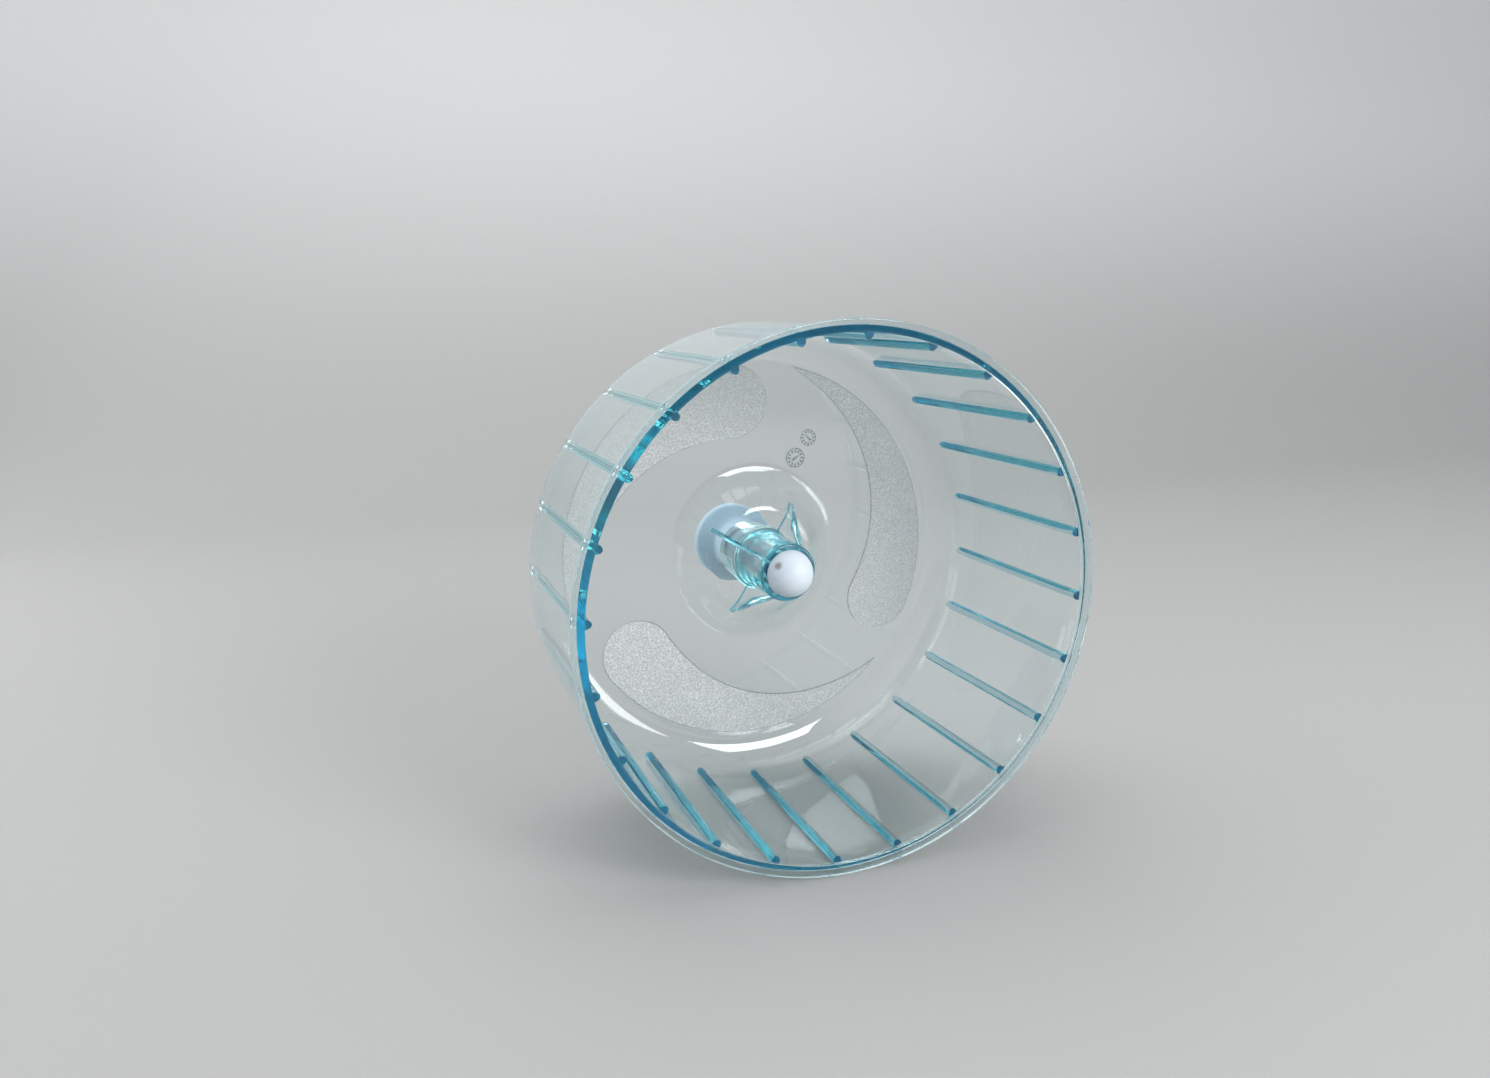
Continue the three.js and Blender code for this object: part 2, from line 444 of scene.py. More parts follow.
def new_group(name: str, amount: str, outputs: Sequence[str]) -> tuple[Nodes, Socket, Socket]:
    """Makes an empty shader group that takes a vector and one number.

    Args:
        name: The group's name.
        amount: Name of the number's input.
        outputs: Names of the outputs, all of them numbers.

    Returns:
        Its nodes, and the sockets that bring in the vector and the number.
    """
    tree = bpy.data.node_groups.new(name, "ShaderNodeTree")
    tree.interface.new_socket("Vector", in_out="INPUT", socket_type="NodeSocketVector")
    tree.interface.new_socket(amount, in_out="INPUT", socket_type="NodeSocketFloat")
    for output in outputs:
        tree.interface.new_socket(output, in_out="OUTPUT", socket_type="NodeSocketFloat")
    nodes = Nodes(tree)
    source = nodes.add("NodeGroupInput")
    return nodes, source.outputs["Vector"], source.outputs[amount]


@dataclass(frozen=True)
class HairlineScratches:
    """Fine curved scratches: thin distorted rings about three places, broken up by noise."""

    places: tuple[tuple[Triple, float], ...] = (
        ((0.05, 0.0, -0.04), 90.0),
        ((-0.06, 0.0, -0.02), 70.0),
        ((0.02, 0.0, 0.09), 110.0),
    )
    distortion: float = 2.5
    detail: float = 1.0
    detail_scale: float = 0.2
    line_from: float = 0.996
    patch_scale: float = 0.3
    patch_detail: float = 2.0
    patch_from: float = 0.56
    patch_full: float = 0.64

    def rings(self, nodes: Nodes, vector: Socket, centre: Triple, scale: float) -> Socket:
        """Thin rings about one place, shown only where a noise is high.

        Args:
            nodes: The group's nodes.
            vector: The socket of the place on the piece.
            centre: The rings' centre, in metres.
            scale: How close the rings lie.

        Returns:
            The socket of the rings' mask.
        """
        shift = nodes.add("ShaderNodeVectorMath", {0: vector, 1: centre}, operation="SUBTRACT")
        near = shift.outputs["Vector"]
        inputs = {"Vector": near, "Scale": scale, "Distortion": self.distortion}
        inputs |= {"Detail": self.detail, "Detail Scale": self.detail_scale}
        wave = nodes.add("ShaderNodeTexWave", inputs, wave_type="RINGS", rings_direction="Y")
        thin = nodes.ramp(wave.outputs["Fac"], self.line_from, 1.0)
        noise = nodes.noise(near, scale * self.patch_scale, self.patch_detail)
        return nodes.math("MULTIPLY", thin, nodes.ramp(noise, self.patch_from, self.patch_full))

    def build(self) -> Group:
        """Makes the group, with inputs Vector and Density and an output Mask.

        Returns:
            The group.
        """
        nodes, vector, density = new_group("Hairline scratches", "Density", ["Mask"])
        total, *others = (self.rings(nodes, vector, *spot) for spot in self.places)
        for mask in others:
            total = nodes.math("MAXIMUM", total, mask)
        nodes.add("NodeGroupOutput", {"Mask": nodes.math("MULTIPLY", total, density)})
        return nodes.tree


@dataclass(frozen=True)
class MouldedGrain:
    """Fine moulded grain: one noise for relief and a coarser one for tone."""

    height_detail: float = 3.0
    tone_detail: float = 2.0
    tone_scale: float = 0.31

    def build(self) -> Group:
        """Makes the group, with inputs Vector and Scale and outputs Height and Tone.

        Returns:
            The group.
        """
        nodes, vector, scale = new_group("Moulded grain", "Scale", ["Height", "Tone"])
        height = nodes.noise(vector, scale, self.height_detail)
        coarse = nodes.math("MULTIPLY", scale, self.tone_scale)
        tone = nodes.noise(vector, coarse, self.tone_detail)
        nodes.add("NodeGroupOutput", {"Height": height, "Tone": tone})
        return nodes.tree


# Finishes


@dataclass(frozen=True)
class ClearPlastic:
    """Polished clear plastic: almost colourless through a wall, with deep blue painted along its edges as
    painted light, standing in for light that runs a long way inside it.
    """

    name: str = "clear_plastic"
    ior: float = 1.58
    roughness: float = 0.012
    scratch_roughness: float = 0.26
    scratch_from: float = -0.030
    scratch_full: float = -0.024
    absorption: Triple = (34.0, 5.8, 3.9)
    clear: Triple = (0.985, 0.992, 0.995)
    # Painted edge light: deep blue painted in the share the drum's attribute gives, standing in for light
    # that runs a long way inside the plastic.
    deep: Triple = (0.05, 0.42, 0.58)

    def build(self, scratches: Group) -> Finish:
        """Makes the material, with scratches only near the back wall.

        Args:
            scratches: The group of hairline scratches.

        Returns:
            The material.
        """
        nodes = Paint(self.name)
        vector = nodes.own_place()
        near_back = nodes.ramp(nodes.part(vector, "Y"), self.scratch_from, self.scratch_full)
        inputs = {"Vector": vector, "Density": near_back}
        mask = nodes.add("ShaderNodeGroup", inputs, node_tree=scratches).outputs["Mask"]
        # Share of painted edge light at this point of the drum.
        share = nodes.add("ShaderNodeAttribute", attribute_name=PAINTED_LIGHT_ATTRIBUTE).outputs["Fac"]
        strongest = max(self.absorption)
        passed = (1 - rate / strongest for rate in self.absorption)
        filling = {"Density": strongest, "Color": (*passed, 1.0)}
        volume = nodes.add("ShaderNodeVolumeAbsorption", filling).outputs["Volume"]
        looks = {
            "Base Color": nodes.mix(share, self.clear, self.deep),
            "Roughness": nodes.spread(mask, self.roughness, self.scratch_roughness),
            "IOR": self.ior,
            "Transmission Weight": 1.0,
        }
        return nodes.shade(looks, volume)


@dataclass(frozen=True)
class FrostedPlastic:
    """The same plastic with an eroded skin: a speckled white veil that lets part of the light through."""

    name: str = "frosted_plastic"
    ior: float = 1.5
    veil_low: float = 0.14
    veil_high: float = 0.55
    roughness: float = 0.36
    roughness_spread: float = 0.2
    speckle: float = 2300.0
    speck_from: float = 0.42
    speck_full: float = 0.58
    relief: float = 0.00009
    tone_low: Triple = (0.62, 0.64, 0.65)
    tone_high: Triple = (0.99, 0.995, 0.995)

    def build(self, grain: Group) -> Finish:
        """Makes the material.

        Args:
            grain: The group of moulded grain.

        Returns:
            The material.
        """
        nodes = Paint(self.name)
        inputs = {"Vector": nodes.own_place(), "Scale": self.speckle}
        skin = nodes.add("ShaderNodeGroup", inputs, node_tree=grain).outputs
        speck = nodes.ramp(skin["Height"], self.speck_from, self.speck_full)
        return nodes.shade({
            "Base Color": nodes.mix(speck, self.tone_low, self.tone_high),
            "Roughness": nodes.spread(skin["Tone"], self.roughness, self.roughness_spread),
            "IOR": self.ior,
            "Alpha": nodes.spread(speck, self.veil_low, self.veil_high - self.veil_low),
            "Normal": nodes.bump(skin["Height"], self.relief),
        })


@dataclass(frozen=True)
class MouldedEdge:
    """Polished plastic for relief so thin that it has no depth of colour, painted grey as painted shade
    for the dark outlines that clear relief edges show.
    """

    name: str = "moulded_edge"
    ior: float = 1.5
    roughness: float = 0.08
    patch_scale: float = 60.0
    patch_detail: float = 2.0
    # Painted shade: grey that stands in for the dark outline of clear relief, darker in some patches than
    # others.
    tone_low: Triple = (0.30, 0.35, 0.37)
    tone_high: Triple = (0.66, 0.71, 0.73)

    def build(self) -> Finish:
        """Makes the material, whose painted grey shade changes in patches.

        Returns:
            The material.
        """
        nodes = Paint(self.name)
        patches = nodes.noise(nodes.own_place(), self.patch_scale, self.patch_detail)
        return nodes.shade({
            "Base Color": nodes.mix(patches, self.tone_low, self.tone_high),
            "Roughness": self.roughness,
            "IOR": self.ior,
            "Transmission Weight": 1.0,
        })


@dataclass(frozen=True)
class GrimeMark:
    """One small brown mark with a ragged outline, its place and radius in metres."""

    centre: Vector
    radius: float
    tone: Triple = (0.24, 0.20, 0.15)
    strength: float = 0.8
    ragged_scale: float = 1800.0
    ragged_detail: float = 2.0
    core: float = 0.7
    border: float = 1.6

    def over(self, nodes: Paint, vector: Socket, clean: Socket) -> Socket:
        """Lays the mark over a colour.

        Args:
            nodes: The material's nodes.
            vector: The socket of the place on the piece.
            clean: The socket of the colour without the mark.

        Returns:
            The socket of the marked colour.
        """
        away = nodes.add("ShaderNodeVectorMath", {0: vector, 1: self.centre}, operation="DISTANCE")
        noise = nodes.noise(vector, self.ragged_scale, self.ragged_detail)
        ragged = nodes.math("MULTIPLY", noise, self.radius)
        reach = nodes.math("ADD", away.outputs["Value"], ragged)
        fade = nodes.ramp(reach, self.radius * self.core, self.radius * self.border)
        stain = nodes.math("SUBTRACT", 1.0, fade)
        return nodes.mix(nodes.math("MULTIPLY", stain, self.strength), clean, self.tone)


@dataclass(frozen=True)
class WhitePlastic:
    """Satin white plastic with a faint moulded grain and slight changes of tone."""

    name: str = "white_plastic"
    # Both tones carry a blue cast of painted skylight; the step between them is random moulded tone.
    tone_low: Triple = (0.76, 0.84, 0.92)
    tone_high: Triple = (0.82, 0.89, 0.97)
    roughness: float = 0.34
    roughness_spread: float = 0.12
    specular: float = 0.45
    grain_scale: float = 1500.0
    relief: float = 0.000012

    def build(self, grain: Group, mark: GrimeMark | None = None) -> Finish:
        """Makes the material.

        Args:
            grain: The group of moulded grain.
            mark: A mark on the piece, or nothing.

        Returns:
            The material.
        """
        nodes = Paint(self.name)
        vector = nodes.own_place()
        inputs = {"Vector": vector, "Scale": self.grain_scale}
        skin = nodes.add("ShaderNodeGroup", inputs, node_tree=grain).outputs
        colour = nodes.mix(skin["Tone"], self.tone_low, self.tone_high)
        return nodes.shade({
            "Base Color": mark.over(nodes, vector, colour) if mark else colour,
            "Roughness": nodes.spread(skin["Tone"], self.roughness, self.roughness_spread),
            "Specular IOR Level": self.specular,
            "Normal": nodes.bump(skin["Height"], self.relief),
        })


# The base and pin: the same white plastic with a stronger blue painted in, standing in for the blue light
# that reaches them through the drum.
PAINTED_BLUE_LIGHT_PLASTIC = WhitePlastic("painted_blue_light_plastic", tone_low=(0.60, 0.78, 0.92), tone_high=(0.67, 0.84, 0.97))


@dataclass(frozen=True)
class StudioPaper:
    """Plain pale paper for the floor and the backdrop."""

    name: str = "studio_paper"
    floor: Triple = (0.50, 0.495, 0.485)
    wall: Triple = (0.88, 0.88, 0.875)
    roughness: float = 0.85

    def build(self, low: float, high: float) -> Finish:
        """Makes the material, which pales as the paper rises.

        Args:
            low: Height in metres where the floor's tone ends.
            high: Height in metres where the wall's tone starts.

        Returns:
            The material.
        """
        nodes = Paint(self.name)
        height = nodes.ramp(nodes.part(nodes.own_place(), "Z"), low, high)
        return nodes.shade({
            "Base Color": nodes.mix(height, self.floor, self.wall),
            "Roughness": self.roughness,
        })


# Pieces of the wheel


@dataclass
class Stations:
    """Places along the axis, in millimetres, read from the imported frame."""

    drum_front: float
    boss_rear: float
    cap_front: float
    collar_front: float

    @classmethod
    def from_frame(cls) -> Stations:
        """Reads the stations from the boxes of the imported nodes.

        Returns:
            The stations.
        """
        drum_low, drum_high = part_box("wheel_drum")
        cap_low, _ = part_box("axle_cap")
        base_low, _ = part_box("axle_base")
        return cls(drum_low.y / MM, drum_high.y / MM, cap_low.y / MM, base_low.y / MM)


@dataclass
class ClearDrum:
    """The drum: one clear moulding with track, rungs, rounded corner, hub, boss and gussets."""

    at: Stations
    radius: float = 70.0
    wall: float = 1.7
    lip_projection: float = 1.7
    lip_depth: float = 2.0
    rim_round: float = 0.45
    draft: float = math.radians(0.4)
    corner: float = 11.5
    rungs: int = 24
    rung_half_width: float = 1.2
    rung_height: float = 1.7
    rung_setback: float = 1.0
    rung_face: float = 0.15
    rung_skin: float = 0.4
    rung_tail: float = 3.2
    rung_reach: float = 2.5
    rung_phase: float = math.radians(12.5)
    hub_top: float = 12.4
    hub_foot: float = 27.6
    hub_rise: float = 8.8
    boss_front_radius: float = 8.2
    boss_rear_radius: float = 8.8
    boss_height: float = 18.5
    boss_tail: float = 2.0
    boss_round: float = 0.8
    boss_fillet: float = 1.2
    bore: float = 5.55
    gussets: int = 4
    gusset_thickness: float = 1.3
    gusset_reach: float = 18.1
    gusset_toe: float = 0.8
    gusset_setback: float = 1.0
    gusset_bevel: float = 0.15
    gusset_draw: float = 0.02
    gusset_phase: float = math.radians(58.5)
    relief_stand_off: float = 0.012
    # Shares of painted edge light: deep blue painted on rung faces, rungs, the wall's end, the lip, the
    # boss's end and the gussets, standing in for light that runs a long way inside the plastic.
    rung_face_painted_light: float = 0.85
    rung_painted_light: float = 0.6
    wall_end_painted_light: float = 0.35
    lip_painted_light: float = 0.2
    boss_end_painted_light: float = 0.8
    gusset_painted_light: float = 0.2
    gusset_edge_painted_light: float = 1.0
    crease: float = 38.0
    gusset_crease: float = 30.0
    round_steps: int = 6
    wall_steps: int = 8
    outer_corner_steps: int = 20
    inner_corner_steps: int = 36
    hub_points: int = 40
    tail_points: int = 5
    track_points: int = 8
    rung_points: int = 11
    gap_points: int = 8

    @property
    def back_outer(self) -> float:
        """Station of the back wall's outer face."""
        return self.at.boss_rear - self.boss_tail

    @property
    def back_inner(self) -> float:
        """Station of the back wall's inner face."""
        return self.back_outer - self.wall

    @property
    def relief_base(self) -> float:
        """Station of the underside of what is raised on the back wall, just clear of its inner face."""
        return self.back_inner - self.relief_stand_off

    @property
    def hub_front(self) -> float:
        """Station of the hub's front face."""
        return self.back_inner - self.hub_rise

    @property
    def hub_width(self) -> float:
        """Width of the hub's flank, from its flat top to its foot."""
        return self.hub_foot - self.hub_top

    @property
    def boss_front(self) -> float:
        """Station of the boss's front end."""
        return self.hub_front - self.boss_height

    @property
    def corner_station(self) -> float:
        """Station where the track ends and the rounded corner starts."""
        return self.back_outer - self.corner

    @property
    def tail_station(self) -> float:
        """Station where the rungs' rounded tails start."""
        return self.corner_station + self.rung_reach - self.rung_tail

    @property
    def rung_circle(self) -> float:
        """Radius of the track's inner face at the rim, on which the rungs' width is measured."""
        return self.track_radius(self.at.drum_front) - self.wall

    def track_radius(self, station: Array | float) -> Array | float:
        """Radius of the track's outer face at a station."""
        return self.radius - self.lip_projection - math.tan(self.draft) * (station - self.at.drum_front)

    def boss_radius(self, station: float) -> float:
        """Radius of the tapering boss at a station."""
        share = (station - self.boss_front) / (self.at.boss_rear - self.boss_front)
        return self.boss_front_radius + share * (self.boss_rear_radius - self.boss_front_radius)

    def corner_centre(self) -> tuple[float, float]:
        """Centre of the two arcs of the rounded corner."""
        inset = self.corner / math.cos(self.draft)
        return self.track_radius(self.corner_station) - inset, self.corner_station

    def hub_fall(self, share: Array | float) -> Array | float:
        """Depth behind the hub's top at a share s of the flank's width: rise (6 s^5 - 15 s^4 + 10 s^3)."""
        return self.hub_rise * share**3 * (6 * share**2 - 15 * share + 10)

    def hub_flank(self) -> tuple[Array, Array]:
        """Front and rear profiles of the hub's flank, from its flat top out to its foot.

        The front is the smooth step of hub_fall, so its curvature has no jumps. The rear lies one wall
        behind it, along the front's normal, which comes from the step's slope: 30 s^2 (1 - s)^2 times
        the rise over the width.

        Returns:
            The front and the rear profile, each as rows of (radius, station).
        """
        share = np.linspace(0.0, 1.0, self.hub_points)
        radius = self.hub_top + share * self.hub_width
        front = np.stack([radius, self.hub_front + self.hub_fall(share)], axis=1)
        slope = 30 * self.hub_rise / self.hub_width * share**2 * (1 - share) ** 2
        normal = np.stack([-slope, np.ones_like(slope)], axis=1) / np.sqrt(1 + slope**2)[:, None]
        return front, front + self.wall * normal

    def rim(self) -> Array:
        """Profile of the rim from the track's inner face round the lip to the track's outer face.

        Returns:
            Rows of (radius, station).
        """
        edge, steps = self.rim_round, self.round_steps
        front = self.at.drum_front
        rear = front + self.lip_depth
        wall_outer = self.track_radius(front)
        lip = self.radius - edge
        root = self.track_radius(rear) + edge
        inner = arc((wall_outer - self.wall + edge, front + edge), edge, math.pi, math.pi + QUARTER, steps)
        outer = arc((lip, front + edge), edge, -QUARTER, 0.0, steps)
        behind = arc((lip, rear - edge), edge, 0.0, QUARTER, steps)
        return joined(
            inner,
            line(inner[-1], (wall_outer, front), steps=4),
            line((wall_outer + self.rung_face, front), outer[0], steps=3),
            outer,
            behind,
            line(behind[-1], (root, rear), steps=2),
            arc((root, rear + edge), edge, -QUARTER, -math.pi, steps=4),
        )

    def outside(self) -> Array:
        """Profile from the rim along the outside to the boss's rear edge.

        Returns:
            Rows of (radius, station).
        """
        rim = self.rim()
        bend = arc(self.corner_centre(), self.corner, self.draft, QUARTER, self.outer_corner_steps)
        _, flank = self.hub_flank()
        hub_rear = self.hub_front + self.wall
        boss_root = (self.boss_radius(hub_rear), hub_rear)
        boss_end = (self.boss_rear_radius, self.at.boss_rear)
        return joined(
            rim,
            line(rim[-1], bend[0], steps=10),
            bend,
            line(bend[-1], flank[-1], self.wall_steps),
            flank[::-1],
            line(boss_root, boss_end, steps=1),
        )

    def inside(self) -> Array:
        """Profile from the back of the bore along the boss, hub and floor to the corner's end.

        Returns:
            Rows of (radius, station).
        """
        bevel, fillet = self.boss_round, self.boss_fillet
        edge_centre = (self.boss_front_radius - bevel, self.boss_front + bevel)
        edge = arc(edge_centre, bevel, -QUARTER, 0.0, self.round_steps)
        root = (self.boss_radius(self.hub_front) + fillet, self.hub_front - fillet)
        boss_foot = arc(root, fillet, math.pi, QUARTER, self.round_steps)
        flank, _ = self.hub_flank()
        inner_corner = self.corner - self.wall
        bend = arc(self.corner_centre(), inner_corner, QUARTER, self.draft, self.inner_corner_steps)
        return joined(
            line((self.bore, self.at.boss_rear), (self.bore, self.boss_front), steps=1),
            line((self.bore, self.boss_front), edge[0], steps=3),
            edge,
            line(edge[-1], boss_foot[0], self.wall_steps),
            boss_foot,
            line(boss_foot[-1], flank[0], self.wall_steps),
            flank,
            line(flank[-1], bend[0], self.wall_steps),
            bend,
        )

    def track(self) -> Array:
        """Profile of the track's inner face from the corner to the rim, finer at the rungs' ends.

        Returns:
            Rows of (radius, station).
        """
        first = self.at.drum_front + self.rim_round
        start = self.at.drum_front + self.rung_setback
        face = start + self.rung_face
        rear = np.linspace(self.corner_station, self.tail_station, self.tail_points)
        middle = np.linspace(self.tail_station, face + self.rung_skin, self.track_points)
        stations = np.concatenate([rear, middle[1:], [face, start, (start + first) / 2, first]])
        return np.stack([self.track_radius(stations) - self.wall / math.cos(self.draft), stations], axis=1)

    def angles(self) -> Array:
        """Grid angles: close together across each rung, even in the gaps.

        Returns:
            Angles in radians, in order round the axis.
        """
        half = self.rung_half_width / self.rung_circle
        pitch = FULL_TURN / self.rungs
        across = half * np.sin(np.linspace(-QUARTER, QUARTER, self.rung_points))
        gap = np.linspace(half, pitch - half, self.gap_points)[1:-1]
        starts = self.rung_phase + pitch * np.arange(self.rungs)
        return (starts[:, None] + np.concatenate([across, gap])[None, :]).ravel()

    def rung_side(self, angle: Array) -> Array:
        """Offset of angles from the middle of the nearest rung.

        Args:
            angle: Angles in radians, any shape.

        Returns:
            Offsets in half widths of a rung, of the same shape.
        """
        pitch = FULL_TURN / self.rungs
        offset = (angle - self.rung_phase + pitch / 2) % pitch - pitch / 2
        return offset * self.rung_circle / self.rung_half_width

    def rung_relief(self, station: Array, angle: Array) -> Array:
        """Height of the rungs: an elliptical bar with a square front end and a rounded tail.

        Args:
            station: Stations of the grid's rows, shape (rows, 1).
            angle: Angles of the grid's columns, shape (1, columns).

        Returns:
            Heights in millimetres, shape (rows, columns).
        """
        side = self.rung_side(angle)
        tail = np.clip((station - self.tail_station) / self.rung_tail, 0.0, None)
        front = self.at.drum_front + self.rung_setback
        face = np.clip((station - front) / self.rung_face, 0.0, 1.0)
        return self.rung_height * face * np.sqrt(np.clip(1 - side**2 - tail**2, 0.0, None))

    def painted_edge_light(self, radius: Array, station: Array, angle: Array, relief: Array) -> Array:
        """Share of painted edge light on the rungs, the lip, and the front ends of rungs, wall and boss:
        deep blue painted where light runs a long way inside the plastic.

        Args:
            radius: Radii of the profile's rows, shape (rows, 1).
            station: Stations of the profile's rows, shape (rows, 1).
            angle: Angles of the grid's columns, shape (1, columns).
            relief: Rung heights, shape (rows, columns).

        Returns:
            Shares from 0 to 1, shape (rows, columns).
        """
        reach = self.rung_face / 2
        front_face = station < self.at.drum_front + reach
        wall_end = front_face & (radius < self.track_radius(self.at.drum_front) + reach)
        on_boss = (radius < self.boss_front_radius) & (radius > self.bore + reach)
        boss_end = on_boss & (abs(station - self.boss_front) < self.boss_round / 2)
        behind = station - self.at.drum_front - self.rung_setback
        face_rows = (behind > -reach) & (behind < self.rung_face + reach)
        on_track = radius < self.rung_circle + reach
        rung_face = face_rows & on_track & (abs(self.rung_side(angle)) < 1)
        painted_lights = [
            (rung_face, self.rung_face_painted_light),
            (relief > reach, self.rung_painted_light),
            (wall_end, self.wall_end_painted_light),
            (front_face, self.lip_painted_light),
            (boss_end, self.boss_end_painted_light),
        ]
        places, shares = zip(*painted_lights)
        return np.select(places, shares, 0.0)

    def shell(self, name: str) -> Piece:
        """Makes the drum without gussets: the profile turned, less the rungs' height inside the track.

        Args:
            name: The object's name.

        Returns:
            The new object.
        """
        track = self.track()
        profile = joined(self.outside(), self.inside(), track)[:-1]
        angle = self.angles()[None, :]
        radius, station = profile[:, :1], profile[:, 1:]
        row = np.arange(len(profile))[:, None]
        # The rungs' tails run on into the rounded corner, so its rows count as track here.
        on_track = row > len(profile) - len(track) - self.inner_corner_steps
        relief = np.where(on_track, self.rung_relief(station, angle), 0.0)
        points = turned(radius - relief, station, angle)
        faces = grid_faces(*relief.shape, True, True)
        # Deep blue painted edge light for each vertex.
        painted_light = self.painted_edge_light(radius, station, angle, relief)
        return mesh_object(name, points.reshape(-1, 3), faces, self.crease, painted_light.ravel())

    def gusset_plates(self, name: str) -> Piece:
        """Makes the gussets as one object of triangular plates, each a loop carried across its thickness.

        Args:
            name: The object's name.

        Returns:
            The new object.
        """
        root = (self.bore + self.boss_front_radius) / 2
        buried = self.hub_front + self.wall / 2
        tip = self.boss_front + self.gusset_setback
        fall = self.hub_fall((self.gusset_reach - self.hub_top) / self.hub_width)
        outline = np.array([
            (root, buried),
            (root, tip),
            (self.boss_front_radius, tip),
            (self.gusset_reach, self.hub_front + fall - self.gusset_toe),
            (self.gusset_reach, buried + fall),
            (self.hub_top, buried),
        ])
        middle = np.broadcast_to(outline.mean(axis=0), outline.shape)
        smaller = outline + (middle - outline) * self.gusset_draw
        plan = np.stack([middle, smaller, outline, outline, smaller, middle])
        half = self.gusset_thickness / 2
        inner = half - self.gusset_bevel
        across = np.array([-half, -half, -inner, inner, half, half])[:, None]
        turns = self.gusset_phase + np.arange(self.gussets) * FULL_TURN / self.gussets
        cos, sin = np.cos(turns)[:, None, None], np.sin(turns)[:, None, None]
        radius, station = plan[..., 0], plan[..., 1]
        x = radius * cos - across * sin
        z = radius * sin + across * cos
        points = MM * np.stack([x, np.broadcast_to(station, x.shape), z], axis=-1)
        one = grid_faces(*radius.shape, False, True)
        faces = np.concatenate([one + i * radius.size for i in range(self.gussets)])
        # Painted edge light: a little deep blue painted over the plates and the full share on the free
        # sloping edge, standing in for light running inside them.
        painted_light = np.full(radius.shape, self.gusset_painted_light)
        # The free sloping edge lies between the outline's third and fourth points.
        painted_light[2:4, 2:4] = self.gusset_edge_painted_light
        painted_lights = np.tile(painted_light.ravel(), self.gussets)
        return mesh_object(name, points.reshape(-1, 3), faces, self.gusset_crease, painted_lights)

    def build(self, finish: Finish) -> None:
        """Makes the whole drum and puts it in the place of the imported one.

        Args:
            finish: The clear plastic.
        """
        drum = self.shell("clear_drum")
        plates = self.gusset_plates("gusset_plates")
        union = drum.modifiers.new("gussets", "BOOLEAN")
        union.operation = "UNION"
        union.solver = "MANIFOLD"
        union.object = plates
        bake_modifiers(drum)
        bpy.data.objects.remove(plates)
        drum.data.set_sharp_from_angle(angle=math.radians(self.crease))
        place(drum, Body.WHEEL, Slot.CLEAR, finish)
        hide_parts("wheel_drum")


@dataclass
class FrostedCrescents:
    """Three comma-shaped frosted fields on the back wall, each a low pad with a chamfered border."""

    drum: ClearDrum
    count: int = 3
    outer_radius: float = 56.0
    end_radius: float = 10.6
    tail_angle: float = math.radians(79.5)
    end_angle: float = math.radians(-22.0)
    tail_share: float = 0.985
    taper: float = 1.35
    height: float = 0.25
    chamfer: float = 0.3
    flat_from: float = 0.97
    crease: float = 20.0
    body_points: int = 64
    end_points: int = 18

    def outline(self) -> Array:
        """Edges of one crescent: a ring sector that narrows to its tail, and a round end.

        Returns:
            Rows of inner and outer edge points in the wheel's plane, shape (rows, 2, 2).
        """
        share = np.linspace(self.tail_share, 0.0, self.body_points)
        out = directions(self.end_angle + share * (self.tail_angle - self.end_angle))
        inner = self.outer_radius - 2 * self.end_radius * (1 - share**self.taper)
        body = np.stack([inner[:, None] * out, self.outer_radius * out], axis=1)
        sweep = np.linspace(0.0, QUARTER, self.end_points)[1:-1, None]
        last = out[-1]
        along = np.array([last[1], -last[0]])
        centre = (self.outer_radius - self.end_radius) * last
        middle = centre + self.end_radius * np.sin(sweep) * along
        reach = self.end_radius * np.cos(sweep) * last
        return np.concatenate([body, np.stack([middle - reach, middle + reach], axis=1)])

    def build(self, finish: Finish, border: Finish) -> None:
        """Makes the crescents.

        Args:
            finish: The frosted plastic.
            border: The polished plastic of the sloping border, painted grey as shade for its dark outline.
        """
        outline = self.outline()
        for i in range(self.count):
            cos, sin = directions(i * FULL_TURN / self.count)
            spin = np.array([[cos, sin], [-sin, cos]])
            grid = slab_grid(outline @ spin, self.drum.relief_base, self.height, self.chamfer)
            piece = mesh_object(f"frosted_crescent_{i + 1}", *capped(grid), self.crease)
            place(piece, Body.WHEEL, Slot.CLEAR, finish)
            piece.data.materials.append(border)
            normals = np.empty(len(piece.data.polygons) * 3)
            piece.data.polygons.foreach_get("normal", normals)
            sloping = abs(normals[1::3]) < self.flat_from
            piece.data.polygons.foreach_set("material_index", sloping.astype(np.int32))


